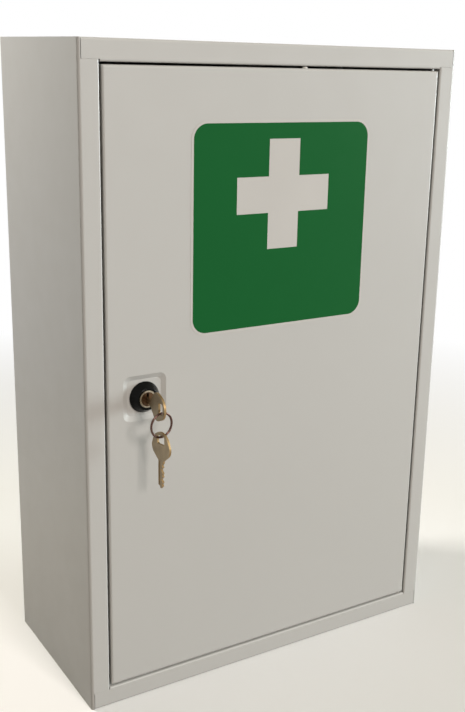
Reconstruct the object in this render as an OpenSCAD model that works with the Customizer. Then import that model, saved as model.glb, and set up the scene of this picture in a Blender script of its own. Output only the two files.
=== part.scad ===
// Lockable wall cabinet for medicine: a folded sheet-steel body with an inset door on pivot pins,
// two fixed shelves, and a cam lock whose key carries a ring with a spare key.
//
// Millimetres. X runs from the lock side to the hinge side, Y from the front to the wall, Z up.
// The origin is the centre of the underside, so the base stands on Z = 0.

/* [Cabinet] */
// Width of the cabinet
width = 300; // [230:1:420]
// Height of the cabinet
height = 460; // [360:1:640]
// Depth of the cabinet, from the front face to the wall
depth = 140; // [110:1:220]

/* [Sheet metal] */
// Thickness of the body sheet
body_t = 0.8; // [0.6:0.1:1.2]
// Thickness of the door sheet
door_t = 1.0; // [0.7:0.1:1.4]
// Inside radius of the body's four upright corners
corner_r = 1.2; // [0.8:0.1:2]
// Inside radius of every other fold
fold_r = 0.6; // [0.3:0.1:1.0]
// Height of the turned-down edges of the top, base and shelves
edge_h = 12; // [8:1:16]

/* [Front frame] */
// Width of the frame that faces the front round the door
frame_w = 14; // [11:0.5:20]
// Depth of the return that the frame folds back beside the door
jamb_depth = 16; // [14.5:0.5:20]
// Slit between the side sheets' corners and the front frame of the top and base
seam = 0.4; // [0.2:0.1:0.8]

/* [Door] */
// Gap between the door and the frame all round
door_gap = 1.5; // [1.2:0.1:2.5]
// Depth of the door's folded edge
door_depth = 13; // [10:0.5:13.5]
// Width of the lip that the door's edge folds inward
door_lip = 6; // [5:0.5:9]

/* [Pivot hinge] */
// Radius of the pivot pins
pin_r = 1.25; // [1:0.05:1.3]
// Distance from the door's hinge edge to the pin axis
pin_inset = 3.2; // [3:0.1:4.5]
// Distance from the end of the frame's front fold to the pin axis
pin_setback = 2.1; // [2:0.05:3]
// Length of pin that stands out of the door
pin_reach = 7; // [5:0.5:10]
// Wall of the nylon bush round a pin
bush_wall = 0.6; // [0.5:0.05:0.65]
// Radial clearance of a turning fit
running_gap = 0.05; // [0.03:0.01:0.1]
// Radial clearance of a piece that only has to slip into its hole
slip_gap = 0.05; // [0.03:0.01:0.1]

/* [Shelves] */
// Height of the lower shelf's top face
lower_shelf_z = 158; // [100:1:180]
// Height of the upper shelf's top face
upper_shelf_z = 306; // [220:1:320]
// Distance from the cabinet's front face to the shelf's front edge
shelf_setback = 26; // [25:1:50]
// Clearance between a shelf and the body's corners
shelf_gap = 0.3; // [0.2:0.1:1]
// Width and height of the runners' legs
runner_leg = 10; // [8:1:14]
// Thickness of the runners
runner_t = 1.0; // [0.8:0.1:1.5]

/* [Wall fixing] */
// Distance from the cabinet's side to the fixing holes
wall_hole_side = 40; // [20:1:80]
// Distance from the cabinet's top and base to the fixing holes
wall_hole_end = 40; // [20:1:80]
// Radius of the fixing holes
wall_hole_r = 3.25; // [2.5:0.25:4]

/* [Door stops] */
// Distance from the cabinet's middle height to each door stop
stop_dz = 128; // [60:1:150]
// Length of a stop bracket
stop_length = 22; // [16:1:30]
// Thickness of a stop bracket
stop_t = 1.2; // [1:0.1:2]
// Radius of a rubber stop pad
pad_r = 3.2; // [2.5:0.1:3.5]
// Free gap between a pad and the closed door
pad_gap = 0.1; // [0.05:0.05:0.3]

/* [Lock] */
// Distance from the door's free edge to the lock axis
lock_inset = 27.5; // [26:0.1:40]
// Height of the lock axis above the base
lock_z = 228.7; // [200:0.1:260]
// Width of flat floor round the lock's collar in the square pressing
press_margin = 1.8; // [1:0.1:3]
// Run of the pressing's sloped wall
press_run = 3.3; // [2:0.1:3.5]
// Depth of the pressing
press_depth = 1.5; // [1:0.1:2]
// Corner radius of the pressing at the door's face
press_corner = 5; // [4:0.5:6]
// Radius of the lock's barrel
barrel_r = 9.2; // [8.5:0.1:9.4]
// Depth of each of the barrel's two flats
barrel_flat = 1.2; // [0.8:0.1:1.8]
// Length of the barrel behind the pressing's floor
barrel_length = 15.9; // [14:0.1:16]
// Width of the lock's flange round the barrel, under the collar
barrel_flange_w = 0.8; // [0.8:0.1:1.5]
// Thickness of the black collar at its foot
collar_wall = 0.8; // [0.8:0.05:1.4]
// Thickness of the black collar at its front rim
collar_rim = 0.55; // [0.4:0.05:1]
// Height of the black collar
collar_h = 6.5; // [6:0.1:8]
// Radius of the turning plug inside the barrel
plug_r = 5.2; // [5:0.05:5.9]
// Width of the plug's front shoulder round its shaft
plug_shoulder = 0.8; // [0.8:0.1:1.4]
// Thickness of the spigot round the plug, inside the collar
spigot_wall = 1.9; // [1.5:0.1:2]
// Thickness of the lock's nut from the barrel to a flat
nut_wall = 1.8; // [1.4:0.1:2.6]
// Thickness of the lock's nut
nut_t = 3.5; // [2.5:0.1:4.5]
// Length of the cam that lies behind the frame's return when the lock is locked
cam_catch = 7.5; // [4:0.5:10]
// Width of the cam
cam_w = 13; // [11:0.5:16]
// Thickness of the cam
cam_t = 2; // [1.5:0.1:2.5]
// Side of the square tail that drives the cam
tail_side = 6; // [5:0.1:6.5]

/* [Keys] */
// Thickness of a key
key_t = 1.6; // [1.4:0.1:2.2]
// Length of a key's blade
blade_length = 20; // [17:0.5:21]
// Width of a key's blade
blade_w = 5.3; // [5:0.1:6]
// Length of a key's bow
bow_length = 19.5; // [18.5:0.5:24]
// Width of a key's bow
bow_w = 19.4; // [18:0.1:21]
// Size of the slot in the bow across the key
slot_across = 7.8; // [7.4:0.1:8.4]
// Size of the slot in the bow along the key
slot_along = 6; // [5.5:0.1:7]
// Width of metal between the slot and the end of the bow
bow_end = 2.5; // [2.2:0.1:3.2]
// Clearance between a key's blade and the keyway
key_gap = 0.08; // [0.05:0.01:0.15]
// Distance that the key's shoulder stands in front of the collar
key_proud = 5.5; // [3:0.1:6.5]
// Distance that the key's middle lies below the lock axis
key_drop = 1; // [0:0.1:1.2]

/* [Key ring] */
// Radius of the ring's wire
wire_r = 0.75; // [0.6:0.05:0.9]
// Radius of the ring to the middle of its wire
ring_r = 8.3; // [8.1:0.1:9]
// Angle between the ring and the door
ring_yaw = 10; // [0:1:15]
// Width of the cut that opens the ring
ring_cut = 0.3; // [0.2:0.1:0.6]
// Free gap between the wire and the edge of the slot that it hangs in
ring_gap = 0.35; // [0.35:0.05:0.6]
// Free gap between the wire and the key that hangs on it
hang_gap = 0.15; // [0.1:0.05:0.3]

/* [Label] */
// Width of the label
label_w = 145.5; // [100:0.5:160]
// Height of the label
label_h = 144.5; // [100:0.5:160]
// Corner radius of the label
label_corner = 12; // [4:0.5:20]
// Distance from the cabinet's top to the middle of the label
label_drop = 121.7; // [100:0.1:140]
// Thickness of the label's film
label_t = 0.15; // [0.1:0.05:0.3]

/* [Hidden] */
$fn = 96;
// Overshoot of a cutting shape past the face that it cuts
over = 1;

// Cabinet faces
front_y = -depth / 2;
back_y = depth / 2;
inner_x = width / 2 - body_t;
opening_w = width - 2 * frame_w;
fold_out = fold_r + body_t;
corner_out = corner_r + body_t;
frame_joint = frame_w - fold_out;

// Door faces
door_w = opening_w - 2 * door_gap;
door_h = height - 2 * frame_w - 2 * door_gap;
door_back_y = front_y + door_depth;
door_fold_out = fold_r + door_t;

// Pivot hinge
pin_x = door_w / 2 - pin_inset;
pin_y = front_y + fold_out + pin_setback;
bush_bore_r = pin_r + running_gap;
bush_r = bush_bore_r + bush_wall;
bush_hole_r = bush_r + slip_gap;
bush_flange_r = pin_setback - slip_gap;
bush_flange_t = 1;
bush_cap_t = 1;
end_gap = 0.15;
pin_hole_r = pin_r + slip_gap;
pin_head_gap = 0.2;
pin_head_r = pin_inset - door_t - pin_head_gap;
pin_head_t = 1;
plate_t = 2;
plate_length = 13;

// Shelves
shelf_front_y = front_y + shelf_setback;
shelf_half_w = width / 2 - corner_out - shelf_gap;
runner_front_y = shelf_front_y + fold_out;
runner_back_y = back_y - 10;

// Door stops, with the leg clear of the return's end by the fold's inside radius
stop_leg_y = front_y + jamb_depth + fold_r;
stop_weld = 12;
pad_x = -door_w / 2 + door_lip - pad_r;
pad_edge = 2;

// Door buffer in the top gap, a little to the hinge side of the middle
buffer_x = 16.4;
buffer_r = 2;
buffer_stem_r = 1.2;
buffer_rise = door_gap - 0.3;
buffer_barb = 0.4;

// Lock, with the floor of the pressing as its datum
lock_x = -door_w / 2 + lock_inset;
lock_y = front_y + press_depth;
plug_bore_r = plug_r + running_gap;
plug_face_r = plug_r + plug_shoulder;
spigot_r = plug_bore_r + spigot_wall;
spigot_h = 4;
barrel_hole_r = barrel_r + slip_gap;
barrel_flange_r = barrel_r + barrel_flange_w;
flange_t = 1;
collar_seat_r = barrel_flange_r + slip_gap;
collar_bore_r = spigot_r + slip_gap;
collar_r = collar_seat_r + collar_wall;
collar_rim_r = collar_bore_r + collar_rim;
floor_side = 2 * (collar_r + press_margin);
floor_corner = press_corner - press_run / 2;
press_side = floor_side + 2 * press_run;
nut_flats = 2 * (barrel_r + nut_wall);
face_gap = 0.1;
plug_face_z = collar_h - 0.4;
washer_t = 0.8;
washer_w = 2.4;
washer_r = barrel_r + washer_w;
washer_teeth = 12;
cam_washer_t = 0.8;
cam_washer_r = 5;
cam_screw_r = 1.5;
cam_screw_hole_r = cam_screw_r + slip_gap;
cam_screw_head_r = 3.6;
cam_screw_head_h = 1.8;
cam_screw_length = 6;
cam_tip_r = 3;
cam_length = lock_inset + door_gap + body_t + cam_catch;
cam_z = -barrel_length - face_gap;
keyway_top = 4.3;
keyway_depth = plug_face_z + 11.4;

// Keys, with the shoulder as their datum
shoulder_z = collar_h + key_proud;
key_mid_z = lock_z - key_drop;
slot_mid = bow_length - bow_end - slot_along / 2;
slot_corner = 1.5;
notch_pitch = 3.4;
notch_first = 3.6;
notch_depths = [1.3, 2.1, 1.0, 1.9, 1.4];
groove_w = 1.3;
groove_inset = 0.9;
groove_depth = 0.45;

// Key ring, hanging in the slot of the key that is in the lock
ring_y = lock_y - shoulder_z - slot_mid;
ring_top_z = key_mid_z - slot_across / 2 + wire_r + ring_gap;
ring_z = ring_top_z - ring_r;
ring_low_z = ring_z - ring_r;

echo(str("key ring hinge: x ", lock_x, ", y ", ring_y, ", z ", key_mid_z - (slot_across + bow_w) / 4));
echo(str("spare key hinge: z ", ring_low_z));
echo(str("door hinge: x ", pin_x, ", y ", pin_y));

// Colours as the photograph shows them
enamel = [0.74, 0.73, 0.70];
zinc = [0.70, 0.70, 0.68];
nylon = [0.90, 0.89, 0.85];
nickel = [0.66, 0.62, 0.54];
key_metal = [0.55, 0.50, 0.40];
ring_metal = [0.42, 0.33, 0.28];
black = [0.06, 0.06, 0.06];
rubber = [0.12, 0.12, 0.12];
green = [0.11, 0.44, 0.22];

// Helpers for folded sheet

function unit(a, b) = (b - a) / norm(b - a);
function left_of(v) = [-v[1], v[0]];
function turn(u, v) = sign(u[0] * v[1] - u[1] * v[0]);
function inside_r(radii, i) = is_list(radii) ? radii[i - 1] : radii;

// Sheet of thickness t and height h that follows the middle of the sheet along a path with
// right-angle folds. radii is the folds' inside radius, or a list of one for each fold.
module folded_sheet(path, t, radii, h) {
    last = len(path) - 1;
    for (i = [0:last - 1]) {
        u = unit(path[i], path[i + 1]);
        start = path[i] + u * (i == 0 ? 0 : inside_r(radii, i) + t / 2);
        end = path[i + 1] - u * (i == last - 1 ? 0 : inside_r(radii, i + 1) + t / 2);
        half = left_of(u) * t / 2;
        linear_extrude(h)
            polygon([start + half, end + half, end - half, start - half]);
    }
    for (i = [1:last - 1]) {
        u = unit(path[i - 1], path[i]);
        side = left_of(u) * turn(u, unit(path[i], path[i + 1]));
        r = inside_r(radii, i);
        centre = path[i] + (side - u) * (r + t / 2);
        reach = r + 2 * t;
        linear_extrude(h)
            intersection() {
                translate(centre)
                    difference() {
                        circle(r + t);
                        circle(r);
                    }
                polygon([centre, centre - side * reach, centre + (u - side) * reach, centre + u * reach]);
            }
    }
}

// Turns a sheet that is drawn in (Y, Z) and is w high to lie across X, centred
module across(w) {
    rotate([90, 0, 90])
        translate([0, 0, -w / 2])
            children();
}

// Turns a shape that is drawn in (X, Z) and extruded upward so that it runs forward from y1
module forward_from(y1) {
    translate([0, y1, 0])
        rotate([90, 0, 0])
            children();
}

// Box from its two opposite corners
module box(low, high) {
    translate(low)
        cube(high - low);
}

// Copies children to both ends of the height, the lower ones upside down
module at_end(top) {
    if (top)
        children();
    else
        translate([0, 0, height])
            mirror([0, 0, 1])
                children();
}

// Lock frame: origin on the floor of the pressing, +Z towards the front, +Y up
module at_lock() {
    translate([lock_x, lock_y, lock_z])
        rotate([90, 0, 0])
            children();
}

// Body

// One sheet round the left side, the back and the right side, folded in to the front frame
module body_wrap() {
    m = body_t / 2;
    side_x = width / 2 - m;
    jamb_x = opening_w / 2 + m;
    face_y = front_y + m;
    rear_y = back_y - m;
    path = [
        [-jamb_x, front_y + jamb_depth], [-jamb_x, face_y], [-side_x, face_y], [-side_x, rear_y],
        [side_x, rear_y], [side_x, face_y], [jamb_x, face_y], [jamb_x, front_y + jamb_depth]
    ];
    radii = [fold_r, corner_r, corner_r, corner_r, corner_r, fold_r];
    notch_x = width / 2 - corner_out;
    color(enamel)
        difference() {
            folded_sheet(path, body_t, radii, height);
            for (z = [-over, height - frame_joint])
                box([-notch_x, front_y - over, z],
                    [notch_x, front_y + jamb_depth + over, z + frame_joint + over]);
            for (x = [-1, 1], z = [-1, 1])
                translate([x * (width / 2 - wall_hole_side), back_y - body_t - over,
                               height / 2 + z * (height / 2 - wall_hole_end)])
                    rotate([-90, 0, 0])
                        cylinder(r = wall_hole_r, h = body_t + 2 * over);
        }
}

// Top or base: a tray whose front edge folds down into the frame and back beside the door
module end_panel() {
    m = body_t / 2;
    rear_half_w = width / 2 - corner_out;
    front_half_w = rear_half_w - seam;
    side_x = inner_x - m;
    plate_z = height - m;
    low_z = height - edge_h;
    jamb_z = height - frame_w + m;
    tray_y = front_y + fold_out;
    side_front_y = front_y + corner_out;
    side_rear_y = back_y - corner_out;
    rear_y = back_y - body_t - m;
    front_path = [
        [front_y + jamb_depth, jamb_z], [front_y + m, jamb_z], [front_y + m, plate_z],
        [tray_y + over, plate_z]
    ];
    rear_path = [[tray_y, plate_z], [rear_y, plate_z], [rear_y, low_z]];
    side_path = [[-side_x, low_z], [-side_x, plate_z], [side_x, plate_z], [side_x, low_z]];
    color(enamel)
        difference() {
            union() {
                across(2 * front_half_w)
                    folded_sheet(front_path, body_t, fold_r, 2 * front_half_w);
                across(2 * rear_half_w)
                    folded_sheet(rear_path, body_t, fold_r, 2 * rear_half_w);
                forward_from(side_rear_y)
                    folded_sheet(side_path, body_t, fold_r, side_rear_y - side_front_y);
            }
            for (x = [-1, 1])
                translate([x * width / 2, front_y + jamb_depth / 2, height - frame_w])
                    cube([width - opening_w + 2 * seam, jamb_depth + 2 * over, 2 * fold_out + seam / 2],
                         center = true);
            translate([pin_x, pin_y, height - frame_w - over])
                cylinder(r = bush_hole_r, h = body_t + 2 * over);
        }
}

module top_panel() {
    at_end(true)
        end_panel();
}

module bottom_panel() {
    at_end(false)
        end_panel();
}

// Shelf: the front edge folds down and the rear edge stands up against the back
module shelf(top_z) {
    m = body_t / 2;
    front = shelf_front_y + m;
    rear = back_y - body_t - m;
    z = top_z - m;
    color(enamel)
        across(2 * shelf_half_w)
            folded_sheet([[front, top_z - edge_h], [front, z], [rear, z], [rear, top_z + edge_h]],
                         body_t, fold_r, 2 * shelf_half_w);
}

module upper_shelf() {
    shelf(upper_shelf_z);
}

module lower_shelf() {
    shelf(lower_shelf_z);
}

// Angle runner welded to a side sheet, on side -1 or 1, under a shelf
module runner(side, shelf_z) {
    m = runner_t / 2;
    outer = inner_x - m;
    z = shelf_z - body_t - m;
    color(enamel)
        forward_from(runner_back_y)
            folded_sheet([[side * outer, shelf_z - body_t - runner_leg], [side * outer, z],
                          [side * (inner_x - runner_leg), z]],
                         runner_t, fold_r, runner_back_y - runner_front_y);
}

module runner_upper_left() {
    runner(-1, upper_shelf_z);
}

module runner_upper_right() {
    runner(1, upper_shelf_z);
}

module runner_lower_left() {
    runner(-1, lower_shelf_z);
}

module runner_lower_right() {
    runner(1, lower_shelf_z);
}

// Angle welded behind the lock-side return, with one leg across the end of the return
module stop_bracket(z) {
    m = stop_t / 2;
    back_x = -opening_w / 2 - body_t - m;
    weld_start_y = front_y + jamb_depth - stop_weld;
    leg_y = stop_leg_y + m;
    color(enamel)
        translate([0, 0, z - stop_length / 2])
            folded_sheet([[back_x, weld_start_y], [back_x, leg_y], [pad_x + pad_r + pad_edge, leg_y]],
                         stop_t, fold_r, stop_length);
}

// Rubber pad on the bracket that the closed door rests against
module stop_pad(z) {
    color(rubber)
        translate([pad_x, door_back_y + pad_gap, z])
            rotate([-90, 0, 0])
                cylinder(r = pad_r, h = stop_leg_y - door_back_y - pad_gap);
}

module stop_bracket_upper() {
    stop_bracket(height / 2 + stop_dz);
}

module stop_bracket_lower() {
    stop_bracket(height / 2 - stop_dz);
}

module stop_pad_upper() {
    stop_pad(height / 2 + stop_dz);
}

module stop_pad_lower() {
    stop_pad(height / 2 - stop_dz);
}

// Closed nylon cup that stands on the frame's return and lines the hole for a pivot pin
module hinge_bush() {
    sheet_z = height - frame_w;
    flange_z = sheet_z + body_t;
    cup_z = sheet_z - door_gap + pin_reach + end_gap;
    color(nylon)
        translate([pin_x, pin_y, 0])
            difference() {
                union() {
                    translate([0, 0, sheet_z])
                        cylinder(r = bush_r, h = cup_z + bush_cap_t - sheet_z);
                    translate([0, 0, flange_z])
                        cylinder(r = bush_flange_r, h = bush_flange_t);
                }
                translate([0, 0, sheet_z - over])
                    cylinder(r = bush_bore_r, h = cup_z - sheet_z + over);
            }
}

module hinge_bush_top() {
    at_end(true)
        hinge_bush();
}

module hinge_bush_bottom() {
    at_end(false)
        hinge_bush();
}

// Door

// Plan section of a block: front corners rounded, the front on Y = 0
module front_rounded(w, d, r) {
    translate([-w / 2, r])
        square([w, d - r]);
    translate([-w / 2 + r, 0])
        square([w - 2 * r, d]);
    for (x = [-1, 1])
        translate([x * (w / 2 - r), r])
            circle(r);
}

// Block with its four front edges rounded, centred on X and Z, the front on Y = 0
module pan_block(w, h, d, r) {
    intersection() {
        translate([0, 0, -h / 2])
            linear_extrude(h)
                front_rounded(w, d, r);
        across(w)
            linear_extrude(w)
                mirror([1, -1])
                    front_rounded(h, d, r);
    }
}

// Rounded square of one side length, drawn as a thin slab that faces the front
module press_slab(side, corner) {
    slab = 0.02;
    for (x = [-1, 1], z = [-1, 1])
        translate([x * (side / 2 - corner), 0, z * (side / 2 - corner)])
            rotate([90, 0, 0])
                cylinder(r = corner, h = slab, $fn = 32);
}

// Form of the pressing round the lock: its mouth on the door's face, its floor press_depth behind
module press_form() {
    translate([lock_x, front_y, lock_z])
        hull() {
            press_slab(press_side, press_corner);
            translate([0, press_depth, 0])
                press_slab(floor_side, floor_corner);
        }
}

// Section of the lock's barrel: a circle with two flats at the sides
module barrel_section(gap) {
    intersection() {
        circle(barrel_r + gap);
        square([2 * (barrel_r - barrel_flat + gap), 3 * barrel_r], center = true);
    }
}

// One folded pan with a lip all round its open back, pressed in round the lock
module door_panel() {
    mid_z = height / 2;
    inner_w = door_w - 2 * door_t;
    inner_h = door_h - 2 * door_t;
    top_z = mid_z + door_h / 2;
    color(enamel)
        difference() {
            union() {
                translate([0, front_y, mid_z])
                    difference() {
                        pan_block(door_w, door_h, door_depth, door_fold_out);
                        translate([0, door_t, 0])
                            pan_block(inner_w, inner_h, door_depth - 2 * door_t, fold_r);
                        box([-door_w / 2 + door_lip, door_t + fold_r, -door_h / 2 + door_lip],
                            [door_w / 2 - door_lip, door_depth + over, door_h / 2 - door_lip]);
                    }
                translate([0, door_t, 0])
                    press_form();
            }
            press_form();
            at_lock()
                translate([0, 0, -door_t - over])
                    linear_extrude(door_t + 2 * over)
                        barrel_section(slip_gap);
            for (end = [true, false])
                at_end(end)
                    translate([pin_x, pin_y, top_z - door_t - over])
                        cylinder(r = pin_hole_r, h = door_t + 2 * over);
            translate([buffer_x, pin_y, top_z - door_t - over])
                cylinder(r = buffer_stem_r + slip_gap, h = door_t + 2 * over);
        }
}

// Plate that stiffens the door's folded edge round a pivot pin
module hinge_plate() {
    under_z = height - frame_w - door_gap - door_t;
    outer_x = door_w / 2 - door_fold_out;
    color(zinc)
        difference() {
            box([outer_x - plate_length, front_y + door_fold_out, under_z - plate_t],
                [outer_x, door_back_y - door_fold_out, under_z]);
            translate([pin_x, pin_y, under_z - plate_t - over])
                cylinder(r = pin_hole_r, h = plate_t + 2 * over);
        }
}

module hinge_plate_top() {
    at_end(true)
        hinge_plate();
}

module hinge_plate_bottom() {
    at_end(false)
        hinge_plate();
}

// Headed pivot pin, put in from inside the door, with a chamfered nose
module hinge_pin() {
    edge_z = height - frame_w - door_gap;
    head_z = edge_z - door_t - plate_t;
    nose = 0.5;
    color(zinc)
        translate([pin_x, pin_y, 0]) {
            translate([0, 0, head_z])
                cylinder(r = pin_r, h = edge_z + pin_reach - nose - head_z);
            translate([0, 0, edge_z + pin_reach - nose])
                cylinder(r1 = pin_r, r2 = pin_r - nose, h = nose);
            translate([0, 0, head_z - pin_head_t])
                cylinder(r = pin_head_r, h = pin_head_t);
        }
}

module hinge_pin_top() {
    at_end(true)
        hinge_pin();
}

module hinge_pin_bottom() {
    at_end(false)
        hinge_pin();
}

// Domed nylon button in the door's top edge that keeps it off the frame
module top_buffer() {
    edge_z = height - frame_w - door_gap;
    rim = 0.4;
    color(nylon)
        translate([buffer_x, pin_y, edge_z]) {
            cylinder(r = buffer_r, h = rim);
            translate([0, 0, rim])
                cylinder(r1 = buffer_r, r2 = buffer_r / 2, h = buffer_rise - rim);
            translate([0, 0, -door_t])
                cylinder(r = buffer_stem_r, h = door_t);
            translate([0, 0, -door_t - rim])
                cylinder(r = buffer_stem_r + buffer_barb, h = rim);
        }
}

// Printed film on the front of the door
module label() {
    color(green)
        translate([0, 0, height - label_drop])
            forward_from(front_y)
                linear_extrude(label_t) {
                    square([label_w - 2 * label_corner, label_h], center = true);
                    square([label_w, label_h - 2 * label_corner], center = true);
                    for (x = [-1, 1], z = [-1, 1])
                        translate([x * (label_w / 2 - label_corner), z * (label_h / 2 - label_corner)])
                            circle(label_corner);
                }
}

// Lock

// Housing: a barrel with two flats, a flange on the door and a spigot inside the collar
module lock_body() {
    color(zinc)
        at_lock()
            difference() {
                union() {
                    translate([0, 0, -barrel_length])
                        linear_extrude(barrel_length)
                            barrel_section(0);
                    cylinder(r = barrel_flange_r, h = flange_t);
                    cylinder(r = spigot_r, h = spigot_h);
                }
                translate([0, 0, -barrel_length - over])
                    cylinder(r = plug_bore_r, h = barrel_length + spigot_h + 2 * over);
            }
}

// Black tapered collar over the lock's flange
module lock_collar() {
    lip_r = plug_face_r + running_gap;
    rim_round = 0.5;
    color(black)
        at_lock()
            rotate_extrude()
                polygon([
                    [collar_seat_r, 0], [collar_r, 0], [collar_r, flange_t],
                    [collar_r - rim_round, flange_t + rim_round], [collar_rim_r, collar_h - rim_round / 2],
                    [collar_rim_r - rim_round / 2, collar_h], [lip_r, collar_h], [lip_r, spigot_h],
                    [collar_bore_r, spigot_h], [collar_bore_r, flange_t], [collar_seat_r, flange_t]
                ]);
}

// Toothed spring washer between the door and the nut
module lock_washer() {
    tooth_gap = 1.2;
    color(zinc)
        at_lock()
            translate([0, 0, -door_t - washer_t])
                difference() {
                    cylinder(r = washer_r, h = washer_t);
                    translate([0, 0, -over])
                        cylinder(r = barrel_hole_r + slip_gap, h = washer_t + 2 * over);
                    for (i = [0:washer_teeth - 1])
                        rotate([0, 0, i * 360 / washer_teeth])
                            translate([washer_r - tooth_gap, -tooth_gap / 2, -over])
                                cube([2 * tooth_gap, tooth_gap, washer_t + 2 * over]);
                }
}

// Hexagon nut on the barrel
module lock_nut() {
    chamfer_r = nut_flats / 2 + 0.6;
    color(zinc)
        at_lock()
            translate([0, 0, -door_t - washer_t - nut_t])
                difference() {
                    intersection() {
                        cylinder(r = nut_flats / 2 / cos(30), h = nut_t, $fn = 6);
                        cylinder(r1 = chamfer_r, r2 = chamfer_r + 2 * nut_t, h = nut_t);
                    }
                    translate([0, 0, -over])
                        cylinder(r = barrel_hole_r, h = nut_t + 2 * over);
                }
}

// Turning plug with its keyway, its dished face and the square tail for the cam
module lock_plug() {
    rim_w = 1.1;
    dish = 0.3;
    keyway_low = -key_drop - blade_w / 2 - key_gap;
    shaft_low = -barrel_length - face_gap;
    tail_low = cam_z - cam_t + face_gap;
    color(nickel)
        at_lock()
            difference() {
                union() {
                    translate([0, 0, spigot_h + face_gap])
                        cylinder(r = plug_face_r, h = plug_face_z - spigot_h - face_gap);
                    translate([0, 0, shaft_low])
                        cylinder(r = plug_r, h = spigot_h + face_gap - shaft_low);
                    translate([-tail_side / 2, -tail_side / 2, tail_low])
                        cube([tail_side, tail_side, shaft_low - tail_low]);
                }
                translate([0, 0, plug_face_z - dish])
                    cylinder(r1 = plug_face_r - rim_w - dish, r2 = plug_face_r - rim_w, h = dish + 0.001);
                translate([-key_t / 2 - key_gap, keyway_low, plug_face_z - keyway_depth])
                    cube([key_t + 2 * key_gap, keyway_top - keyway_low, keyway_depth + over]);
                translate([0, 0, tail_low - over])
                    cylinder(r = cam_screw_hole_r, h = cam_screw_length + over);
            }
}

// Flat cam on the square tail, pointing down while the lock is open
module lock_cam() {
    color(zinc)
        at_lock()
            translate([0, 0, cam_z - cam_t])
                linear_extrude(cam_t)
                    difference() {
                        union() {
                            circle(cam_w / 2);
                            translate([-cam_w / 2, -cam_length + cam_tip_r])
                                square([cam_w, cam_length - cam_tip_r]);
                            translate([-cam_w / 2 + cam_tip_r, -cam_length])
                                square([cam_w - 2 * cam_tip_r, cam_tip_r]);
                            for (x = [-1, 1])
                                translate([x * (cam_w / 2 - cam_tip_r), -cam_length + cam_tip_r])
                                    circle(cam_tip_r);
                        }
                        square(tail_side + 2 * slip_gap, center = true);
                    }
}

module cam_washer() {
    color(zinc)
        at_lock()
            translate([0, 0, cam_z - cam_t - cam_washer_t])
                difference() {
                    cylinder(r = cam_washer_r, h = cam_washer_t);
                    translate([0, 0, -over])
                        cylinder(r = cam_screw_hole_r, h = cam_washer_t + 2 * over);
                }
}

// Pan-head screw with a cross recess
module cam_screw() {
    seat_z = cam_z - cam_t - cam_washer_t;
    slot_w = 0.9;
    slot_span = 3.6;
    slot_depth = 1;
    crown = 0.6;
    color(zinc)
        at_lock()
            translate([0, 0, seat_z])
                difference() {
                    union() {
                        cylinder(r = cam_screw_r, h = cam_screw_length - face_gap);
                        translate([0, 0, crown - cam_screw_head_h])
                            cylinder(r = cam_screw_head_r, h = cam_screw_head_h - crown);
                        translate([0, 0, -cam_screw_head_h])
                            cylinder(r1 = cam_screw_head_r - 2 * crown, r2 = cam_screw_head_r, h = crown);
                    }
                    for (a = [0, 90])
                        rotate([0, 0, a])
                            translate([-slot_span / 2, -slot_w / 2, -cam_screw_head_h - over])
                                cube([slot_span, slot_w, slot_depth + over]);
                }
}

// Keys

// Outline of the bow: a full end, wide shoulders and a waist at the blade. The bow runs along +Y.
module bow_outline() {
    end_r = 8.6;
    shoulder_r = 6.6;
    shoulder_mid = 8.6;
    foot_w = blade_w - 1;
    hull($fn = 32) {
        translate([0, bow_length - end_r])
            circle(end_r);
        for (x = [-1, 1])
            translate([x * (bow_w / 2 - shoulder_r), shoulder_mid])
                circle(shoulder_r);
        translate([-foot_w / 2, -1])
            square([foot_w, 1]);
    }
}

// Slot for the ring, with rounded corners
module slot_outline() {
    translate([0, slot_mid]) {
        square([slot_across - 2 * slot_corner, slot_along], center = true);
        square([slot_across, slot_along - 2 * slot_corner], center = true);
        for (x = [-1, 1], y = [-1, 1])
            translate([x * (slot_across / 2 - slot_corner), y * (slot_along / 2 - slot_corner)])
                circle(slot_corner);
    }
}

// Flat key: blade along -Y with V notches on its +X edge and a groove in one face, bow along +Y
module key_blank() {
    half = blade_w / 2;
    tip = 2.4;
    tip_w = 1.2;
    notch_w = 0.6;
    difference() {
        translate([0, 0, -key_t / 2]) {
            linear_extrude(key_t)
                bow_outline();
            linear_extrude(key_t)
                polygon([[-half, 2], [half, 2], [half, tip - blade_length], [tip_w / 2, -blade_length],
                         [-tip_w / 2, -blade_length], [-half, tip - blade_length]]);
        }
        translate([0, 0, -key_t / 2 - over])
            linear_extrude(key_t + 2 * over)
                slot_outline();
        for (i = [0:len(notch_depths) - 1])
            translate([half, -notch_first - i * notch_pitch, -key_t / 2 - over])
                linear_extrude(key_t + 2 * over)
                    polygon([
                        [over, notch_depths[i] + over + notch_w / 2], [-notch_depths[i], notch_w / 2],
                        [-notch_depths[i], -notch_w / 2], [over, -notch_depths[i] - over - notch_w / 2]
                    ]);
        translate([-half + groove_inset, -blade_length - over, key_t / 2 - groove_depth])
            cube([groove_w, blade_length + over - groove_inset, groove_depth + over]);
    }
}

// Key in the lock: its plane upright, its notches down
module key_in_lock() {
    color(key_metal)
        at_lock()
            translate([0, -key_drop, shoulder_z])
                rotate([90, 0, -90])
                    key_blank();
}

// Open ring of round wire
module key_ring() {
    color(ring_metal)
        translate([lock_x, ring_y, ring_z])
            rotate([90, 0, ring_yaw])
                difference() {
                    rotate_extrude()
                        translate([ring_r, 0])
                            circle(wire_r);
                    rotate([0, 0, 35])
                        translate([ring_r - 2 * wire_r, -ring_cut / 2, -2 * wire_r])
                            cube([4 * wire_r, ring_cut, 4 * wire_r]);
                }
}

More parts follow.
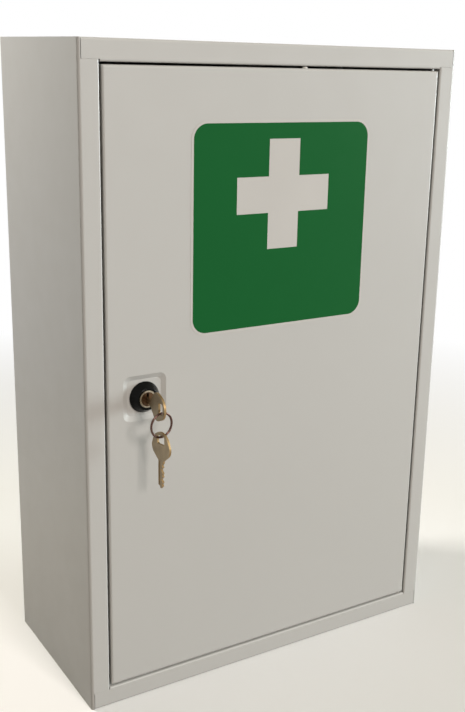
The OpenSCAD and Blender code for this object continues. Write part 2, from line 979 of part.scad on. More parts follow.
// Spare key, hanging by its slot from the ring with its notches to the front
module spare_key() {
    color(key_metal)
        translate([lock_x, ring_y, ring_low_z + wire_r + hang_gap - (bow_length - bow_end)])
            rotate([90, 0, ring_yaw - 90])
                key_blank();
}

body_wrap();
top_panel();
bottom_panel();
upper_shelf();
lower_shelf();
runner_upper_left();
runner_upper_right();
runner_lower_left();
runner_lower_right();
stop_bracket_upper();
stop_bracket_lower();
stop_pad_upper();
stop_pad_lower();
hinge_bush_top();
hinge_bush_bottom();
door_panel();
hinge_plate_top();
hinge_plate_bottom();
hinge_pin_top();
hinge_pin_bottom();
top_buffer();
label();
lock_body();
lock_collar();
lock_washer();
lock_nut();
lock_plug();
lock_cam();
cam_washer();
cam_screw();
key_in_lock();
key_ring();
spare_key();
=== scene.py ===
"""Visual model of a lockable wall cabinet for medicine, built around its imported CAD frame.

Metres throughout. X runs from the lock side to the hinge side, Y from the front to the wall and
Z up. The sheet-steel parts are the frame's own nodes with a finish. The label, the lock's
hardware, the keys and the ring are finished pieces that stand for their nodes.
"""

import logging
import math
from collections.abc import Callable, Iterator
from contextlib import contextmanager
from dataclasses import dataclass, field
from enum import Enum

import bmesh
import bpy
from mathutils import Matrix, Vector


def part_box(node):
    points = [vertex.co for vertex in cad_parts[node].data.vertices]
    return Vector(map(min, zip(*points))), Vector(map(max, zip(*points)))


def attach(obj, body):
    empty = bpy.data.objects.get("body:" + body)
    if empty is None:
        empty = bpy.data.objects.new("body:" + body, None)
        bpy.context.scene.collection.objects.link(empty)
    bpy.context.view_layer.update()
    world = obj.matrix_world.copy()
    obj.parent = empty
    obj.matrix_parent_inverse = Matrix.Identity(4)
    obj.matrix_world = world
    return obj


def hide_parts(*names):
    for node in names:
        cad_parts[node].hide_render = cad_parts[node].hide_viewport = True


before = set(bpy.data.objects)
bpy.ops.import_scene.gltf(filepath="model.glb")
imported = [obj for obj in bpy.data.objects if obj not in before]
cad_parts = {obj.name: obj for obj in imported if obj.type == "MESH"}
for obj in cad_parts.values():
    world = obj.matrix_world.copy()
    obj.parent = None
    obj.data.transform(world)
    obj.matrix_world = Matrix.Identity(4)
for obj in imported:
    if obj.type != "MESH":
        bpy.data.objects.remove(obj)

LOG = logging.getLogger("cabinet")
MM = 0.001

Colour = tuple[float, float, float]
Place = tuple[float, float, float]
FaceTest = Callable[[Vector, Vector], bool]
PointTest = Callable[[Vector], bool]
Band = tuple[float, float]

MERGE_GAP = 0.002 * MM  # doubled points of a CAD mesh lie nearer than this
FLAT_ANGLE = math.radians(0.5)  # faces that meet at less are one face
AREA_WEIGHT = 50  # larger faces pull the normals by their area alone
NOISE_BAND = (0.3, 0.7)  # most of a noise's values lie between these
MIX_FIRST, MIX_SECOND, MIX_RESULT = 6, 7, 2  # a mix node's sockets for colours


# Modelling, as by hand with Blender's operators


def deselect_all() -> None:
    """Leaves no object selected."""
    for thing in bpy.context.selected_objects:
        thing.select_set(False)


def select_only(piece: bpy.types.Object) -> None:
    """Selects one object and makes it the active one.

    Args:
        piece: The object to select.
    """
    deselect_all()
    piece.select_set(True)
    bpy.context.view_layer.objects.active = piece


@contextmanager
def editing(piece: bpy.types.Object) -> Iterator[None]:
    """Opens a piece in edit mode with nothing selected, and closes it afterwards.

    Args:
        piece: The mesh object to edit.
    """
    select_only(piece)
    bpy.ops.object.mode_set(mode="EDIT")
    bpy.ops.mesh.select_all(action="DESELECT")
    yield
    bpy.ops.object.mode_set(mode="OBJECT")


def pick_faces(piece: bpy.types.Object, test: FaceTest) -> None:
    """Selects exactly the faces that pass a test, in edit mode.

    Args:
        piece: The mesh object in edit mode.
        test: Takes a face's centre and normal.
    """
    bpy.ops.mesh.select_mode(type="FACE")
    bpy.ops.mesh.select_all(action="DESELECT")
    mesh = bmesh.from_edit_mesh(piece.data)
    for face in mesh.faces:
        if test(face.calc_center_median(), face.normal):
            face.select_set(True)
    bmesh.update_edit_mesh(piece.data)


def pick_points(piece: bpy.types.Object, test: PointTest) -> None:
    """Selects exactly the vertices that pass a test, in edit mode.

    Args:
        piece: The mesh object in edit mode.
        test: Takes a vertex's place.
    """
    bpy.ops.mesh.select_mode(type="VERT")
    bpy.ops.mesh.select_all(action="DESELECT")
    mesh = bmesh.from_edit_mesh(piece.data)
    for point in mesh.verts:
        if test(point.co):
            point.select_set(True)
    bmesh.update_edit_mesh(piece.data)


def settle(piece: bpy.types.Object) -> None:
    """Moves an object's place, turn and scale into its mesh."""
    select_only(piece)
    bpy.ops.object.transform_apply(location=True, rotation=True, scale=True)


def face_outwards(piece: bpy.types.Object) -> None:
    """Merges doubled vertices and turns every face outwards.

    Args:
        piece: The closed mesh object to mend.
    """
    with editing(piece):
        bpy.ops.mesh.select_all(action="SELECT")
        bpy.ops.mesh.remove_doubles(threshold=MERGE_GAP)
        bpy.ops.mesh.normals_make_consistent(inside=False)


def smooth(piece: bpy.types.Object, degrees: float = 30) -> None:
    """Shades a piece smooth, except over edges sharper than an angle."""
    select_only(piece)
    bpy.ops.object.shade_smooth_by_angle(angle=math.radians(degrees))


def apply_modifier(piece: bpy.types.Object, kind: str, **settings: object) -> None:
    """Adds one modifier to a piece and applies it.

    Args:
        piece: The mesh object to change.
        kind: Blender's name for the kind of modifier.
        **settings: The modifier's values by name.
    """
    select_only(piece)
    modifier = piece.modifiers.new(kind.lower(), kind)
    for name, value in settings.items():
        setattr(modifier, name, value)
    bpy.ops.object.modifier_apply(modifier=modifier.name)


def ease_edges(piece: bpy.types.Object, width: float, steps: int = 2, degrees: float = 40) -> None:
    """Rounds every edge that is sharper than an angle and keeps the flat faces flat in the light.

    Args:
        piece: The mesh object to change.
        width: Width of the rounding.
        steps: Number of faces across it.
        degrees: Smallest angle that counts as an edge.
    """
    apply_modifier(piece, "BEVEL", width=width, segments=steps, limit_method="ANGLE",
                   angle_limit=math.radians(degrees), use_clamp_overlap=True, miter_outer="MITER_ARC")
    smooth(piece)
    apply_modifier(piece, "WEIGHTED_NORMAL", mode="FACE_AREA", weight=AREA_WEIGHT, keep_sharp=True)


def copy_of(node: str, name: str) -> bpy.types.Object:
    """Copies a frame node's mesh and merges its loose triangles into whole faces.

    Args:
        node: Name of the CAD node.
        name: Name of the new piece.

    Returns:
        The new object, at the origin.
    """
    deselect_all()
    piece = bpy.data.objects.new(name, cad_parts[node].data.copy())
    piece.data.name = name
    piece.data.materials.clear()
    bpy.context.scene.collection.objects.link(piece)
    with editing(piece):
        bpy.ops.mesh.select_all(action="SELECT")
        bpy.ops.mesh.customdata_custom_splitnormals_clear()
        bpy.ops.mesh.remove_doubles(threshold=MERGE_GAP)
        bpy.ops.mesh.dissolve_limited(angle_limit=FLAT_ANGLE)
    return piece


def named(name: str) -> bpy.types.Object:
    """Names the object that an operator has just added, and its mesh.

    Args:
        name: The new name.

    Returns:
        The object.
    """
    piece = bpy.context.object
    piece.name = name
    piece.data.name = name
    return piece


# Shader nodes


class Shader:
    """One node-based material around a Principled surface.

    Args:
        name: The material's name.
        colour: Base colour, linear.
        rough: Roughness.
        **constants: Values of other sockets of the surface, with _ for a space.
    """

    def __init__(self, name: str, colour: Colour, rough: float, **constants: float) -> None:
        self.material = bpy.data.materials.new(name)
        self.material.use_nodes = True
        self.tree = self.material.node_tree
        self.tree.nodes.clear()
        self.surface = self.add("ShaderNodeBsdfPrincipled")
        self.surface.inputs["Base Color"].default_value = (*colour, 1)
        self.surface.inputs["Roughness"].default_value = rough
        for socket, value in constants.items():
            self.surface.inputs[socket.replace("_", " ")].default_value = value
        self.output = self.add("ShaderNodeOutputMaterial")
        self.link(self.surface.outputs["BSDF"], self.output.inputs["Surface"])
        self.place = self.add("ShaderNodeTexCoord").outputs["Object"]

    def add(self, kind: str, **settings: object) -> bpy.types.Node:
        """Adds a node and sets its properties.

        Args:
            kind: Blender's name for the kind of node.
            **settings: The node's properties by name.

        Returns:
            The node.
        """
        node = self.tree.nodes.new(kind)
        for name, value in settings.items():
            setattr(node, name, value)
        return node

    def link(self, start: bpy.types.NodeSocket, end: bpy.types.NodeSocket) -> None:
        """Joins two sockets."""
        self.tree.links.new(start, end)

    def feed(self, socket: bpy.types.NodeSocket, value: object) -> None:
        """Links a socket to another, or sets it to a constant.

        Args:
            socket: The socket to feed.
            value: An output socket or a number.
        """
        if isinstance(value, bpy.types.NodeSocket):
            self.link(value, socket)
        else:
            socket.default_value = value

    def stretched(self, scale: Place, turn: Place) -> bpy.types.NodeSocket:
        """Gives object coordinates that are scaled and turned, for grain with a direction.

        Args:
            scale: Factor along each axis.
            turn: Angle about each axis, in radians.

        Returns:
            The changed coordinates.
        """
        mapping = self.add("ShaderNodeMapping", vector_type="POINT")
        mapping.inputs["Rotation"].default_value = turn
        mapping.inputs["Scale"].default_value = scale
        self.link(self.place, mapping.inputs["Vector"])
        return mapping.outputs["Vector"]

    def noise(self, scale: float, detail: float = 2, rough: float = 0.5,
              place: bpy.types.NodeSocket | None = None) -> bpy.types.NodeSocket:
        """Adds noise with a number of cells per metre.

        Args:
            scale: Cells per metre.
            detail: Octaves of finer noise.
            rough: How strong the finer octaves are.
            place: Coordinates, or None for plain object coordinates.

        Returns:
            The noise value, from 0 to 1.
        """
        node = self.add("ShaderNodeTexNoise")
        node.inputs["Scale"].default_value = scale
        node.inputs["Detail"].default_value = detail
        node.inputs["Roughness"].default_value = rough
        self.link(place or self.place, node.inputs["Vector"])
        return node.outputs["Fac"]

    def spread(self, value: bpy.types.NodeSocket, low: float, high: float,
               start: float = 0, end: float = 1) -> bpy.types.NodeSocket:
        """Maps values from start..end to low..high, held at both ends.

        Args:
            value: The value to map.
            low: Result at start.
            high: Result at end.
            start: Lowest value.
            end: Highest value.

        Returns:
            The mapped value.
        """
        node = self.add("ShaderNodeMapRange")
        for name, number in {"From Min": start, "From Max": end, "To Min": low, "To Max": high}.items():
            node.inputs[name].default_value = number
        self.link(value, node.inputs["Value"])
        return node.outputs["Result"]

    def maths(self, operation: str, first: object, second: object) -> bpy.types.NodeSocket:
        """Does one sum on two values.

        Args:
            operation: Blender's name for the sum.
            first: A socket or a number.
            second: A socket or a number.

        Returns:
            The result.
        """
        node = self.add("ShaderNodeMath", operation=operation)
        self.feed(node.inputs[0], first)
        self.feed(node.inputs[1], second)
        return node.outputs["Value"]

    def mixed(self, share: bpy.types.NodeSocket, first: Colour, second: Colour) -> bpy.types.NodeSocket:
        """Mixes two colours.

        Args:
            share: Share of the second colour, from 0 to 1.
            first: The colour at 0.
            second: The colour at 1.

        Returns:
            The mixed colour.
        """
        node = self.add("ShaderNodeMix", data_type="RGBA")
        self.link(share, node.inputs["Factor"])
        node.inputs[MIX_FIRST].default_value = (*first, 1)
        node.inputs[MIX_SECOND].default_value = (*second, 1)
        return node.outputs[MIX_RESULT]

    def seen_directly(self) -> bpy.types.NodeSocket:
        """Gives 1 for camera, glossy and transmission rays and 0 for the rest.

        Returns:
            The ray's share.
        """
        rays = self.add("ShaderNodeLightPath")
        seen = self.maths("MAXIMUM", rays.outputs["Is Camera Ray"], rays.outputs["Is Glossy Ray"])
        return self.maths("MAXIMUM", seen, rays.outputs["Is Transmission Ray"])

    def paint(self, colour: bpy.types.NodeSocket) -> None:
        """Takes the base colour from a node."""
        self.link(colour, self.surface.inputs["Base Color"])

    def shade(self, share: bpy.types.NodeSocket, colour: Colour, shades: Band) -> None:
        """Paints with a colour that varies from one shade of itself to another.

        Args:
            share: Share of the second shade, from 0 to 1.
            colour: The plain colour.
            shades: Factors of the two shades.
        """
        self.paint(self.mixed(share, tinted(colour, shades[0]), tinted(colour, shades[1])))

    def roughen(self, value: bpy.types.NodeSocket, rough: float, change: Band, band: Band = (0, 1)) -> None:
        """Makes the roughness vary about its middle value.

        Args:
            value: The value that drives it.
            rough: The middle roughness.
            change: What is added to it at the lowest and highest value.
            band: Lowest and highest value.
        """
        result = self.spread(value, rough + change[0], rough + change[1], *band)
        self.link(result, self.surface.inputs["Roughness"])

    def emboss(self, *layers: tuple[bpy.types.NodeSocket, float]) -> None:
        """Adds bump in layers.

        Args:
            *layers: A height from 0 to 1 and the depth in metres that 1 stands for.
        """
        before = None
        for height, depth in layers:
            bump = self.add("ShaderNodeBump")
            bump.inputs["Strength"].default_value = 1
            bump.inputs["Distance"].default_value = depth
            self.link(height, bump.inputs["Height"])
            if before is not None:
                self.link(before, bump.inputs["Normal"])
            before = bump.outputs["Normal"]
        self.link(before, self.surface.inputs["Normal"])


def tinted(colour: Colour, factor: float) -> Colour:
    """Makes a colour lighter or darker by a factor."""
    return tuple(min(1.0, part * factor) for part in colour)


# Finishes


@dataclass(frozen=True)
class Enamel:
    """Pale grey powder coat on sheet steel, smooth with a faint orange peel."""

    colour: Colour = (0.510, 0.504, 0.482)
    shades: Band = (0.985, 1.015)
    shine: float = 0.4
    coat: float = 0.15
    coat_rough: float = 0.15
    rough: float = 0.36
    rough_change: Band = (-0.04, 0.05)
    rough_cells: float = 60
    cloud_cells: float = 5
    speck_cells: float = 1600
    speck_share: float = 0.2
    wave_cells: float = 9
    wave_depth: float = 0.25 * MM
    peel_cells: float = 420
    peel_depth: float = 0.012 * MM

    def material(self) -> bpy.types.Material:
        """Builds the finish.

        Returns:
            The new material.
        """
        shader = Shader("enamel", self.colour, self.rough, Specular_IOR_Level=self.shine,
                        Coat_Weight=self.coat, Coat_Roughness=self.coat_rough)
        cloud = shader.spread(shader.noise(self.cloud_cells, detail=3), 0, 1 - self.speck_share, *NOISE_BAND)
        speck = shader.spread(shader.noise(self.speck_cells, detail=1), 0, self.speck_share)
        shader.shade(shader.maths("ADD", cloud, speck), self.colour, self.shades)
        shader.roughen(shader.noise(self.rough_cells, detail=4), self.rough, self.rough_change, NOISE_BAND)
        wave = shader.noise(self.wave_cells, detail=1)
        peel = shader.noise(self.peel_cells, detail=2)
        shader.emboss((wave, self.wave_depth), (peel, self.peel_depth))
        return shader.material


@dataclass(frozen=True)
class PlatedSteel:
    """Zinc or nickel plate: a metal with faint clouding and fine scratches."""

    name: str
    colour: Colour
    rough: float
    rough_change: Band = (-0.08, 0.12)
    shades: Band = (0.86, 1.08)
    cloud_cells: float = 260
    cloud_rough: float = 0.6
    scratch_cells: float = 900
    scratch_stretch: Place = (1, 1, 9)
    scratch_turn: Place = (0.5, 0.3, 0)
    scratch_depth: float = 0.004 * MM

    def material(self) -> bpy.types.Material:
        """Builds the finish.

        Returns:
            The new material.
        """
        shader = Shader(self.name, self.colour, self.rough, Metallic=1)
        cloud = shader.noise(self.cloud_cells, detail=4, rough=self.cloud_rough)
        shader.shade(shader.spread(cloud, 0, 1, *NOISE_BAND), self.colour, self.shades)
        grain = shader.stretched(self.scratch_stretch, self.scratch_turn)
        scratch = shader.noise(self.scratch_cells, detail=3, place=grain)
        shader.roughen(scratch, self.rough, self.rough_change, NOISE_BAND)
        shader.emboss((scratch, self.scratch_depth))
        return shader.material


@dataclass(frozen=True)
class Moulding:
    """Moulded plastic or rubber with a fine grain."""

    name: str
    colour: Colour
    rough: float
    shine: float = 0.3
    rough_change: Band = (-0.05, 0.07)
    shades: Band = (0.9, 1.1)
    grain_cells: float = 1400
    grain_depth: float = 0.006 * MM

    def material(self) -> bpy.types.Material:
        """Builds the finish.

        Returns:
            The new material.
        """
        shader = Shader(self.name, self.colour, self.rough, Specular_IOR_Level=self.shine)
        grain = shader.noise(self.grain_cells, detail=3)
        shader.shade(grain, self.colour, self.shades)
        shader.roughen(grain, self.rough, self.rough_change)
        shader.emboss((grain, self.grain_depth))
        return shader.material


@dataclass(frozen=True)
class PrintedFilm:
    """Glossy self-adhesive film that lies on the enamel and shows a little of its unevenness."""

    name: str
    colour: Colour
    rough: float = 0.3
    rough_change: Band = (-0.03, 0.05)
    rough_cells: float = 120
    shine: float = 0.13
    shades: Band = (0.94, 1.06)
    cloud_cells: float = 14
    wave_cells: float = 30
    wave_depth: float = 0.05 * MM
    grain_cells: float = 900
    grain_depth: float = 0.003 * MM

    def material(self) -> bpy.types.Material:
        """Builds the finish.

        Returns:
            The new material.
        """
        shader = Shader(self.name, self.colour, self.rough, Specular_IOR_Level=self.shine)
        shader.shade(shader.noise(self.cloud_cells, detail=4), self.colour, self.shades)
        shader.roughen(shader.noise(self.rough_cells, detail=3), self.rough, self.rough_change)
        wave = shader.noise(self.wave_cells, detail=2)
        grain = shader.noise(self.grain_cells, detail=1)
        shader.emboss((wave, self.wave_depth), (grain, self.grain_depth))
        return shader.material


class Finish(Enum):
    """The finishes of the cabinet's pieces."""

    ENAMEL = Enamel()
    ZINC = PlatedSteel("zinc", (0.56, 0.57, 0.56), 0.34)
    PIN_STEEL = PlatedSteel("pin_steel", (0.30, 0.30, 0.29), 0.4)
    # nickel plate on the plug's rim, tinted tan as a painted reflection of the brass key
    NICKEL = PlatedSteel("nickel", (0.40, 0.345, 0.26), 0.28, scratch_depth=0.001 * MM)
    # painted reflection: the plug's dish is coloured dark brown to stand for the brass key reflected in it
    PLUG_DISH = PlatedSteel("plug_dish_reflection", (0.115, 0.066, 0.036), 0.26, scratch_depth=0.0008 * MM)
    KEY_FACE = PlatedSteel("key_face", (0.33, 0.265, 0.18), 0.38)
    KEY_EDGE = PlatedSteel("key_edge", (0.34, 0.23, 0.11), 0.36)
    RING_WIRE = PlatedSteel("ring_wire", (0.10, 0.055, 0.045), 0.24)
    COLLAR = Moulding("collar_black", (0.003, 0.003, 0.0025), 0.2, shine=0.09)
    NYLON = Moulding("nylon", (0.78, 0.76, 0.70), 0.45)
    RUBBER = Moulding("rubber", (0.02, 0.02, 0.02), 0.7)
    FILM_WHITE = PrintedFilm("film_white", (0.555, 0.54, 0.515))
    FILM_GREEN = PrintedFilm("film_green", (0.0035, 0.100, 0.020))


@dataclass
class Paintbox:
    """Builds each finish once and puts it on pieces."""

    mixed: dict[Finish, bpy.types.Material] = field(default_factory=dict)

    def of(self, finish: Finish) -> bpy.types.Material:
        """Gives the material of a finish, which is built at its first use.

        Args:
            finish: The finish.

        Returns:
            Its material.
        """
        if finish not in self.mixed:
            self.mixed[finish] = finish.value.material()
        return self.mixed[finish]

    def coat(self, piece: bpy.types.Object, *finishes: Finish) -> None:
        """Puts finishes on a piece's material slots, in order.

        Args:
            piece: The piece to finish.
            *finishes: One finish for each slot.
        """
        piece.data.materials.clear()
        for finish in finishes:
            piece.data.materials.append(self.of(finish))

    def coat_node(self, node: str, finish: Finish) -> None:
        """Puts a finish on a frame node through its object's slots.

        Args:
            node: Name of the CAD node.
            finish: The finish.
        """
        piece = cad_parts[node]
        for slot in piece.material_slots:
            slot.link = "OBJECT"
            slot.material = self.of(finish)
        LOG.info("finished %s in %s", node, finish.name)


def deliver(piece: bpy.types.Object, body: str, slot: str, *nodes: str) -> None:
    """Hangs a finished piece on its body and hides the frame nodes that it stands for.

    Args:
        piece: The finished piece.
        body: The body that it moves with.
        slot: Not used.
        *nodes: The frame nodes that it stands for.
    """
    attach(piece, body)
    if nodes:
        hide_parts(*nodes)
    LOG.info("built %s on %s, %d faces", piece.name, body, len(piece.data.polygons))


# Sub-assemblies


@dataclass
class Carcass:
    """The fixed body: folded sheets, shelves, runners, stops and nylon pivot cups."""

    paint: Paintbox
    sheets: tuple[str, ...] = (
        "body_wrap", "top_panel", "bottom_panel", "upper_shelf", "lower_shelf",
        "runner_upper_left", "runner_upper_right", "runner_lower_left", "runner_lower_right",
        "stop_bracket_upper", "stop_bracket_lower",
    )
    bushes: tuple[str, ...] = ("hinge_bush_top", "hinge_bush_bottom")
    pads: tuple[str, ...] = ("stop_pad_upper", "stop_pad_lower")
    pad_round: float = 0.5 * MM

    def build(self) -> None:
        """Finishes the sheets and bushes and models the rubber pads."""
        for node in self.sheets:
            self.paint.coat_node(node, Finish.ENAMEL)
        for node in self.bushes:
            self.paint.coat_node(node, Finish.NYLON)
        for node in self.pads:
            pad = copy_of(node, node + "_rubber")
            ease_edges(pad, self.pad_round, steps=4)
            self.paint.coat(pad, Finish.RUBBER)
            deliver(pad, "carcass", "rubber", node)


@dataclass
class Door:
    """The folded door pan with its stiffening plates, pivot pins and top button."""

    paint: Paintbox
    plates: tuple[str, ...] = ("hinge_plate_top", "hinge_plate_bottom")
    pins: tuple[str, ...] = ("hinge_pin_top", "hinge_pin_bottom")
    pin_round: float = 0.25 * MM
    button_round: float = 0.3 * MM

    def build(self) -> None:
        """Finishes the pan and its plates and models the pins and the button."""
        self.paint.coat_node("door_panel", Finish.ENAMEL)
        for node in self.plates:
            self.paint.coat_node(node, Finish.ZINC)
        for node in self.pins:
            pin = copy_of(node, node + "_eased")
            ease_edges(pin, self.pin_round, steps=3)
            self.paint.coat(pin, Finish.PIN_STEEL)
            deliver(pin, "door", "zinc", node)
        button = copy_of("top_buffer", "top_button")
        ease_edges(button, self.button_round, steps=4, degrees=25)
        self.paint.coat(button, Finish.NYLON)
        deliver(button, "door", "nylon", "top_buffer")


@dataclass
class SafetyLabel:
    """White film with a green print whose opening leaves a white cross."""

    paint: Paintbox
    border: float = 1.75 * MM
    film_corner: float = 12 * MM
    film_thick: float = 0.12 * MM
    print_thick: float = 0.04 * MM
    cross_span: float = 75.5 * MM
    cross_arm: float = 25 * MM
    cross_rise: float = 22 * MM
    corner_steps: int = 20
    nearness: float = 0.01 * MM

    def sheet(self, name: str, width: float, height: float, centre: Vector) -> bpy.types.Object:
        """Adds a flat upright rectangle that faces the front.

        Args:
            name: The piece's name.
            width: Size along X.
            height: Size along Z.
            centre: The middle of the rectangle.

        Returns:
            The new piece, with its place in its mesh.
        """
        deselect_all()
        bpy.ops.mesh.primitive_plane_add(size=1, location=centre, rotation=(math.pi / 2, 0, 0))
        piece = named(name)
        piece.scale = (width, height, 1)
        settle(piece)
        return piece

    def round_corners(self, piece: bpy.types.Object, half_width: float, radius: float) -> None:
        """Rounds the four outer corners of a flat sheet.

        Args:
            piece: The sheet.
            half_width: Half of its size along X.
            radius: The corners' radius.
        """
        with editing(piece):
            tops = [point.co.z for point in piece.data.vertices]
            ends = (min(tops), max(tops))
            pick_points(piece, lambda at: abs(abs(at.x) - half_width) < self.nearness
                        and min(abs(at.z - end) for end in ends) < self.nearness)
            bpy.ops.mesh.bevel(offset=radius, segments=self.corner_steps, affect="VERTICES")

    def cut_cross(self, piece: bpy.types.Object, centre: Vector) -> None:
        """Cuts the opening for the cross out of the print.

        Args:
            piece: The printed sheet, still flat.
            centre: The middle of the cross.
        """
        arm, reach = self.cross_arm / 2, self.cross_span / 2
        with editing(piece):
            for offset in (-reach, -arm, arm, reach):
                for normal in (Vector((1, 0, 0)), Vector((0, 0, 1))):
                    bpy.ops.mesh.select_all(action="SELECT")
                    bpy.ops.mesh.bisect(plane_co=centre + normal * offset, plane_no=normal)

            def in_cross(at: Vector, _normal: Vector) -> bool:
                """Tells whether a face lies inside one of the two bars."""
                across, up = abs(at.x - centre.x), abs(at.z - centre.z)
                return min(across, up) < arm and max(across, up) < reach

            pick_faces(piece, in_cross)
            bpy.ops.mesh.delete(type="FACE")

    def build(self) -> None:
        """Models the film and the print on it."""
        low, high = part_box("label")
        middle = (low + high) / 2
        width, height = high.x - low.x, high.z - low.z
        film = self.sheet("label_film", width, height, Vector((middle.x, high.y, middle.z)))
        self.round_corners(film, width / 2, self.film_corner)
        apply_modifier(film, "SOLIDIFY", thickness=self.film_thick, offset=1)
        face_outwards(film)
        self.paint.coat(film, Finish.FILM_WHITE)
        deliver(film, "door", "label_film", "label")

        print_y = high.y - self.film_thick
        inner_width, inner_height = width - 2 * self.border, height - 2 * self.border
        green = self.sheet("label_print", inner_width, inner_height, Vector((middle.x, print_y, middle.z)))
        self.round_corners(green, inner_width / 2, self.film_corner - self.border)
        self.cut_cross(green, Vector((middle.x, print_y, middle.z + self.cross_rise)))
        apply_modifier(green, "SOLIDIFY", thickness=self.print_thick, offset=1)
        face_outwards(green)
        self.paint.coat(green, Finish.FILM_GREEN)
        deliver(green, "door", "label_film")


@dataclass
class CamLock:
    """Cam lock: housing, black collar, washer, nut, plug, cam, washer and screw."""

    paint: Paintbox
    collar_round: float = 0.35 * MM
    hardware_round: float = 0.15 * MM
    plug_rim: float = 0.9 * MM
    plug_front: float = 1 * MM

    def paint_dish_reflection(self, plug: bpy.types.Object) -> None:
        """Paints the plug's dished face inside its rim dark brown, as a painted reflection of the brass key.

        Args:
            plug: The plug's piece, with its rim's finish in its first slot.
        """
        low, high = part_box("lock_plug")
        centre = (low + high) / 2
        dish_reach = high.x - centre.x - self.plug_rim
        mesh = plug.data
        # the dark brown colour on the dish is a painted reflection of the brass key
        mesh.materials.append(self.paint.of(Finish.PLUG_DISH))
        for face in mesh.polygons:
            corners = [mesh.vertices[index].co - centre for index in face.vertices]
            reach = max(math.hypot(corner.x, corner.z) for corner in corners)
            if reach < dish_reach and face.center.y < low.y + self.plug_front:
                face.material_index = 1

    def build(self) -> None:
        """Models every piece of the lock as an eased copy of its node."""
        pieces = (
            ("lock_body", "door", "zinc", Finish.ZINC, self.hardware_round),
            ("lock_collar", "door", "collar", Finish.COLLAR, self.collar_round),
            ("lock_washer", "door", "zinc", Finish.ZINC, self.hardware_round / 2),
            ("lock_nut", "door", "zinc", Finish.ZINC, self.hardware_round),
            ("lock_plug", "plug", "nickel", Finish.NICKEL, self.hardware_round),
            ("lock_cam", "plug", "zinc", Finish.ZINC, self.hardware_round),
            ("cam_washer", "plug", "zinc", Finish.ZINC, self.hardware_round / 2),
            ("cam_screw", "plug", "zinc", Finish.ZINC, self.hardware_round),
        )
        for node, body, slot, finish, rounding in pieces:
            piece = copy_of(node, node + "_eased")
            ease_edges(piece, rounding, steps=3)
            self.paint.coat(piece, finish)
            # the plug's dish gets a painted reflection of the brass key
            if node == "lock_plug":
                self.paint_dish_reflection(piece)
            deliver(piece, body, slot, node)


@dataclass
class KeySet:
    """The key in the lock, the open ring of wire and the spare key.

    The spare key's flat faces are turned about the vertical, by hang_turn in degrees.
    """

    paint: Paintbox
    key_round: float = 0.18 * MM
    flat_share: float = 0.9
    hang_turn: float = 10
    seam_angle: float = 40

    def key(self, node: str, body: str, flat: Vector) -> None:
        """Models a key with plated faces and golden cut edges.

        Args:
            node: The key's frame node.
            body: The body that it moves with.
            flat: Normal of the key's flat faces.
        """
        piece = copy_of(node, node + "_eased")
        ease_edges(piece, self.key_round, degrees=50)
        self.paint.coat(piece, Finish.KEY_FACE, Finish.KEY_EDGE)
        for face in piece.data.polygons:
            face.material_index = 0 if abs(face.normal.dot(flat)) > self.flat_share else 1
        deliver(piece, body, "key_metal", node)

    def build(self) -> None:
        """Models both keys and the ring."""
        turn = math.radians(self.hang_turn)
        self.key("key_in_lock", "key", Vector((1, 0, 0)))
        self.key("spare_key", "spare", Vector((math.cos(turn), math.sin(turn), 0)))
        ring = copy_of("key_ring", "key_ring_wire")
        smooth(ring, self.seam_angle)
        self.paint.coat(ring, Finish.RING_WIRE)
        deliver(ring, "ring", "ring_wire", "key_ring")


# Studio


class World(Shader):
    """The surroundings' node tree, with the same helpers as a material's.

    Args:
        name: The world's name.
    """

    def __init__(self, name: str) -> None:
        world = bpy.data.worlds.new(name)
        world.use_nodes = True
        bpy.context.scene.world = world
        self.tree = world.node_tree
        self.tree.nodes.clear()


@dataclass
class Lamp:
    """A soft rectangular lamp that points at a place."""

    name: str
    place: Place
    aim: Place
    size: float
    watts: float
    colour: Colour

    def build(self) -> None:
        """Adds the lamp."""
        light = bpy.data.lights.new(self.name, "AREA")
        light.shape = "SQUARE"
        light.size = self.size
        light.energy = self.watts
        light.color = self.colour
        lamp = bpy.data.objects.new(self.name, light)
        lamp.location = self.place
        lamp.rotation_euler = (Vector(self.aim) - Vector(self.place)).to_track_quat("-Z", "Y").to_euler()
        bpy.context.scene.collection.objects.link(lamp)


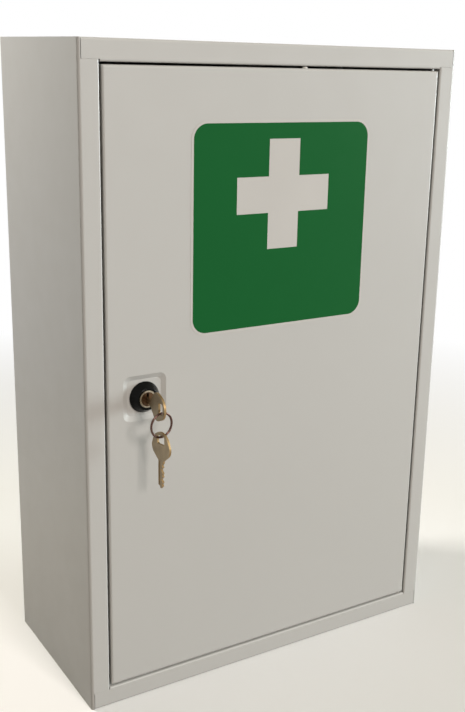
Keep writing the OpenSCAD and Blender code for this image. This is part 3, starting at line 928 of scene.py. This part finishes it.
@dataclass
class Studio:
    """Camera, floor, lamps and surroundings.

    The camera stands where the photograph's perspective puts it. Its heading turns it from +Y
    towards +X, its pitch lifts it and its roll tilts the frame, in degrees.
    """

    camera_place: Place = (-0.3938, -0.6605, 0.4512)
    heading: float = 32.89
    pitch: float = -15.80
    roll: float = 1.576
    lens: float = 51.62
    shift: tuple[float, float] = (-0.0456, -0.0140)
    sensor: float = 36
    near_clip: float = 0.01
    floor_reach: float = 6
    floor_corners: int = 96
    floor_white: float = 0.93
    floor_rough: float = 0.9
    floor_shine: float = 0.1
    floor_bounce: Colour = (0.05, 0.034, 0.022)
    fade_start: float = 0.34
    fade_end: float = 0.95
    sky_low: Colour = (0.01, 0.007, 0.005)
    sky_high: Colour = (0.37, 0.34, 0.265)
    sky_band: Band = (-0.2, 0.7)
    lamps: tuple[Lamp, ...] = (
        Lamp("window_lamp", place=(3.3, -1.3, 0.5), aim=(0, 0, 0.2), size=1.3,
             watts=114, colour=(0.86, 0.975, 1)),
        Lamp("front_lamp", place=(0.2, -3.3, 1.6), aim=(0, 0, 0.2), size=0.9,
             watts=77, colour=(1, 0.925, 0.88)),
        Lamp("side_lamp", place=(-0.42, 0.45, 0.85), aim=(-0.15, 0.05, 0.45), size=0.25,
             watts=6.1, colour=(1, 0.965, 0.9)),
    )

    def camera(self) -> None:
        """Adds the camera at the photograph's viewpoint."""
        data = bpy.data.cameras.new("camera")
        data.sensor_fit = "AUTO"
        data.sensor_width = self.sensor
        data.lens = self.lens
        data.shift_x, data.shift_y = self.shift
        data.clip_start = self.near_clip
        camera = bpy.data.objects.new("camera", data)
        turn = (Matrix.Rotation(-math.radians(self.heading), 4, "Z")
                @ Matrix.Rotation(math.radians(90 + self.pitch), 4, "X")
                @ Matrix.Rotation(math.radians(self.roll), 4, "Z"))
        camera.matrix_world = Matrix.Translation(self.camera_place) @ turn
        bpy.context.scene.collection.objects.link(camera)
        bpy.context.scene.camera = camera

    def floor(self) -> None:
        """Adds a pale floor that fades to white away from the object and bounces little light."""
        deselect_all()
        bpy.ops.mesh.primitive_circle_add(vertices=self.floor_corners, radius=self.floor_reach,
                                          fill_type="NGON")
        floor = named("floor")
        pale = (self.floor_white,) * 3
        shader = Shader("floor", pale, self.floor_rough, Specular_IOR_Level=self.floor_shine)
        seen = shader.seen_directly()
        shader.paint(shader.mixed(seen, self.floor_bounce, pale))
        length = shader.add("ShaderNodeVectorMath", operation="LENGTH")
        shader.link(shader.place, length.inputs[0])
        fade = shader.spread(length.outputs["Value"], 0, 1, self.fade_start, self.fade_end)
        white = shader.add("ShaderNodeEmission")
        join = shader.add("ShaderNodeMixShader")
        shader.link(shader.maths("MULTIPLY", fade, seen), join.inputs["Fac"])
        shader.link(shader.surface.outputs["BSDF"], join.inputs[1])
        shader.link(white.outputs["Emission"], join.inputs[2])
        shader.link(join.outputs["Shader"], shader.output.inputs["Surface"])
        floor.data.materials.append(shader.material)

    def surroundings(self) -> None:
        """Lights the object from a soft gradient and shows white behind it."""
        world = World("studio")
        height = world.add("ShaderNodeSeparateXYZ")
        world.link(world.add("ShaderNodeTexCoord").outputs["Generated"], height.inputs["Vector"])
        rise = world.spread(height.outputs["Z"], 0, 1, *self.sky_band)
        ambient = world.add("ShaderNodeBackground")
        world.link(world.mixed(rise, self.sky_low, self.sky_high), ambient.inputs["Color"])
        white = world.add("ShaderNodeBackground")
        white.inputs["Color"].default_value = (1, 1, 1, 1)
        join = world.add("ShaderNodeMixShader")
        world.link(world.seen_directly(), join.inputs["Fac"])
        world.link(ambient.outputs["Background"], join.inputs[1])
        world.link(white.outputs["Background"], join.inputs[2])
        world.link(join.outputs["Shader"], world.add("ShaderNodeOutputWorld").inputs["Surface"])

    def build(self) -> None:
        """Sets up the whole studio."""
        bpy.context.scene.view_settings.view_transform = "Standard"
        self.camera()
        self.floor()
        self.surroundings()
        for lamp in self.lamps:
            lamp.build()
        LOG.info("studio ready with %d lamps", len(self.lamps))


def main() -> None:
    """Builds the cabinet's looks and the studio."""
    logging.basicConfig(level=logging.INFO, format="%(name)s: %(message)s")
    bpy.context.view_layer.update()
    paint = Paintbox()
    studio = Studio()
    studio.build()
    for assembly in (Carcass(paint), Door(paint), SafetyLabel(paint), CamLock(paint), KeySet(paint)):
        assembly.build()


if __name__ == "__main__":
    main()
